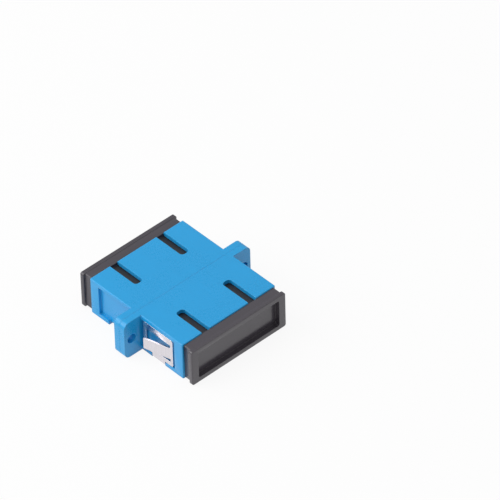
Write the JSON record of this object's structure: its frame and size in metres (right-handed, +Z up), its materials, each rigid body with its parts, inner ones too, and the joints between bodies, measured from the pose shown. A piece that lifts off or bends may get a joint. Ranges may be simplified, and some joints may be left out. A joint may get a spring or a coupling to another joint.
{
  "type": "duplex sc fibre adapter",
  "caption": "Flanged coupling that joins two pairs of SC fibre plugs end to end, with keyed ports, a sprung panel clip and push-in dust caps.",
  "frame": {"origin": "middle of the flange's parting plane, on the underside that the part rests on", "axes": "+X along the fibres towards the end that the panel clip sits on, +Y across the two ports, +Z up towards the keyways"},
  "size_m": [0.0336, 0.0346, 0.0093],
  "materials": {
    "blue_plastic": "semi-gloss moulded blue plastic",
    "spring_steel": "bright rolled spring steel",
    "white_plastic": "satin moulded white plastic",
    "zirconia": "polished white ceramic",
    "black_plastic": "satin moulded black plastic"
  },
  "bodies": {
    "adapter": {"right_housing_half": "blue_plastic", "left_housing_half": "blue_plastic", "mounting_clip": "spring_steel", "near_right_sleeve_holder": "white_plastic", "near_left_sleeve_holder": "white_plastic", "far_right_sleeve_holder": "white_plastic", "far_left_sleeve_holder": "white_plastic", "near_split_sleeve": "zirconia", "far_split_sleeve": "zirconia"},
    "right_cap": {"right_dust_cap": "black_plastic"},
    "left_cap": {"left_dust_cap": "black_plastic"}
  },
  "joints": [
    {"name": "right_cap_slide", "type": "slide", "parent": "adapter", "child": "right_cap", "axis": [1, 0, 0], "range_m": [0, 0.03]},
    {"name": "left_cap_slide", "type": "slide", "parent": "adapter", "child": "left_cap", "axis": [-1, 0, 0], "range_m": [0, 0.03]}
  ]
}
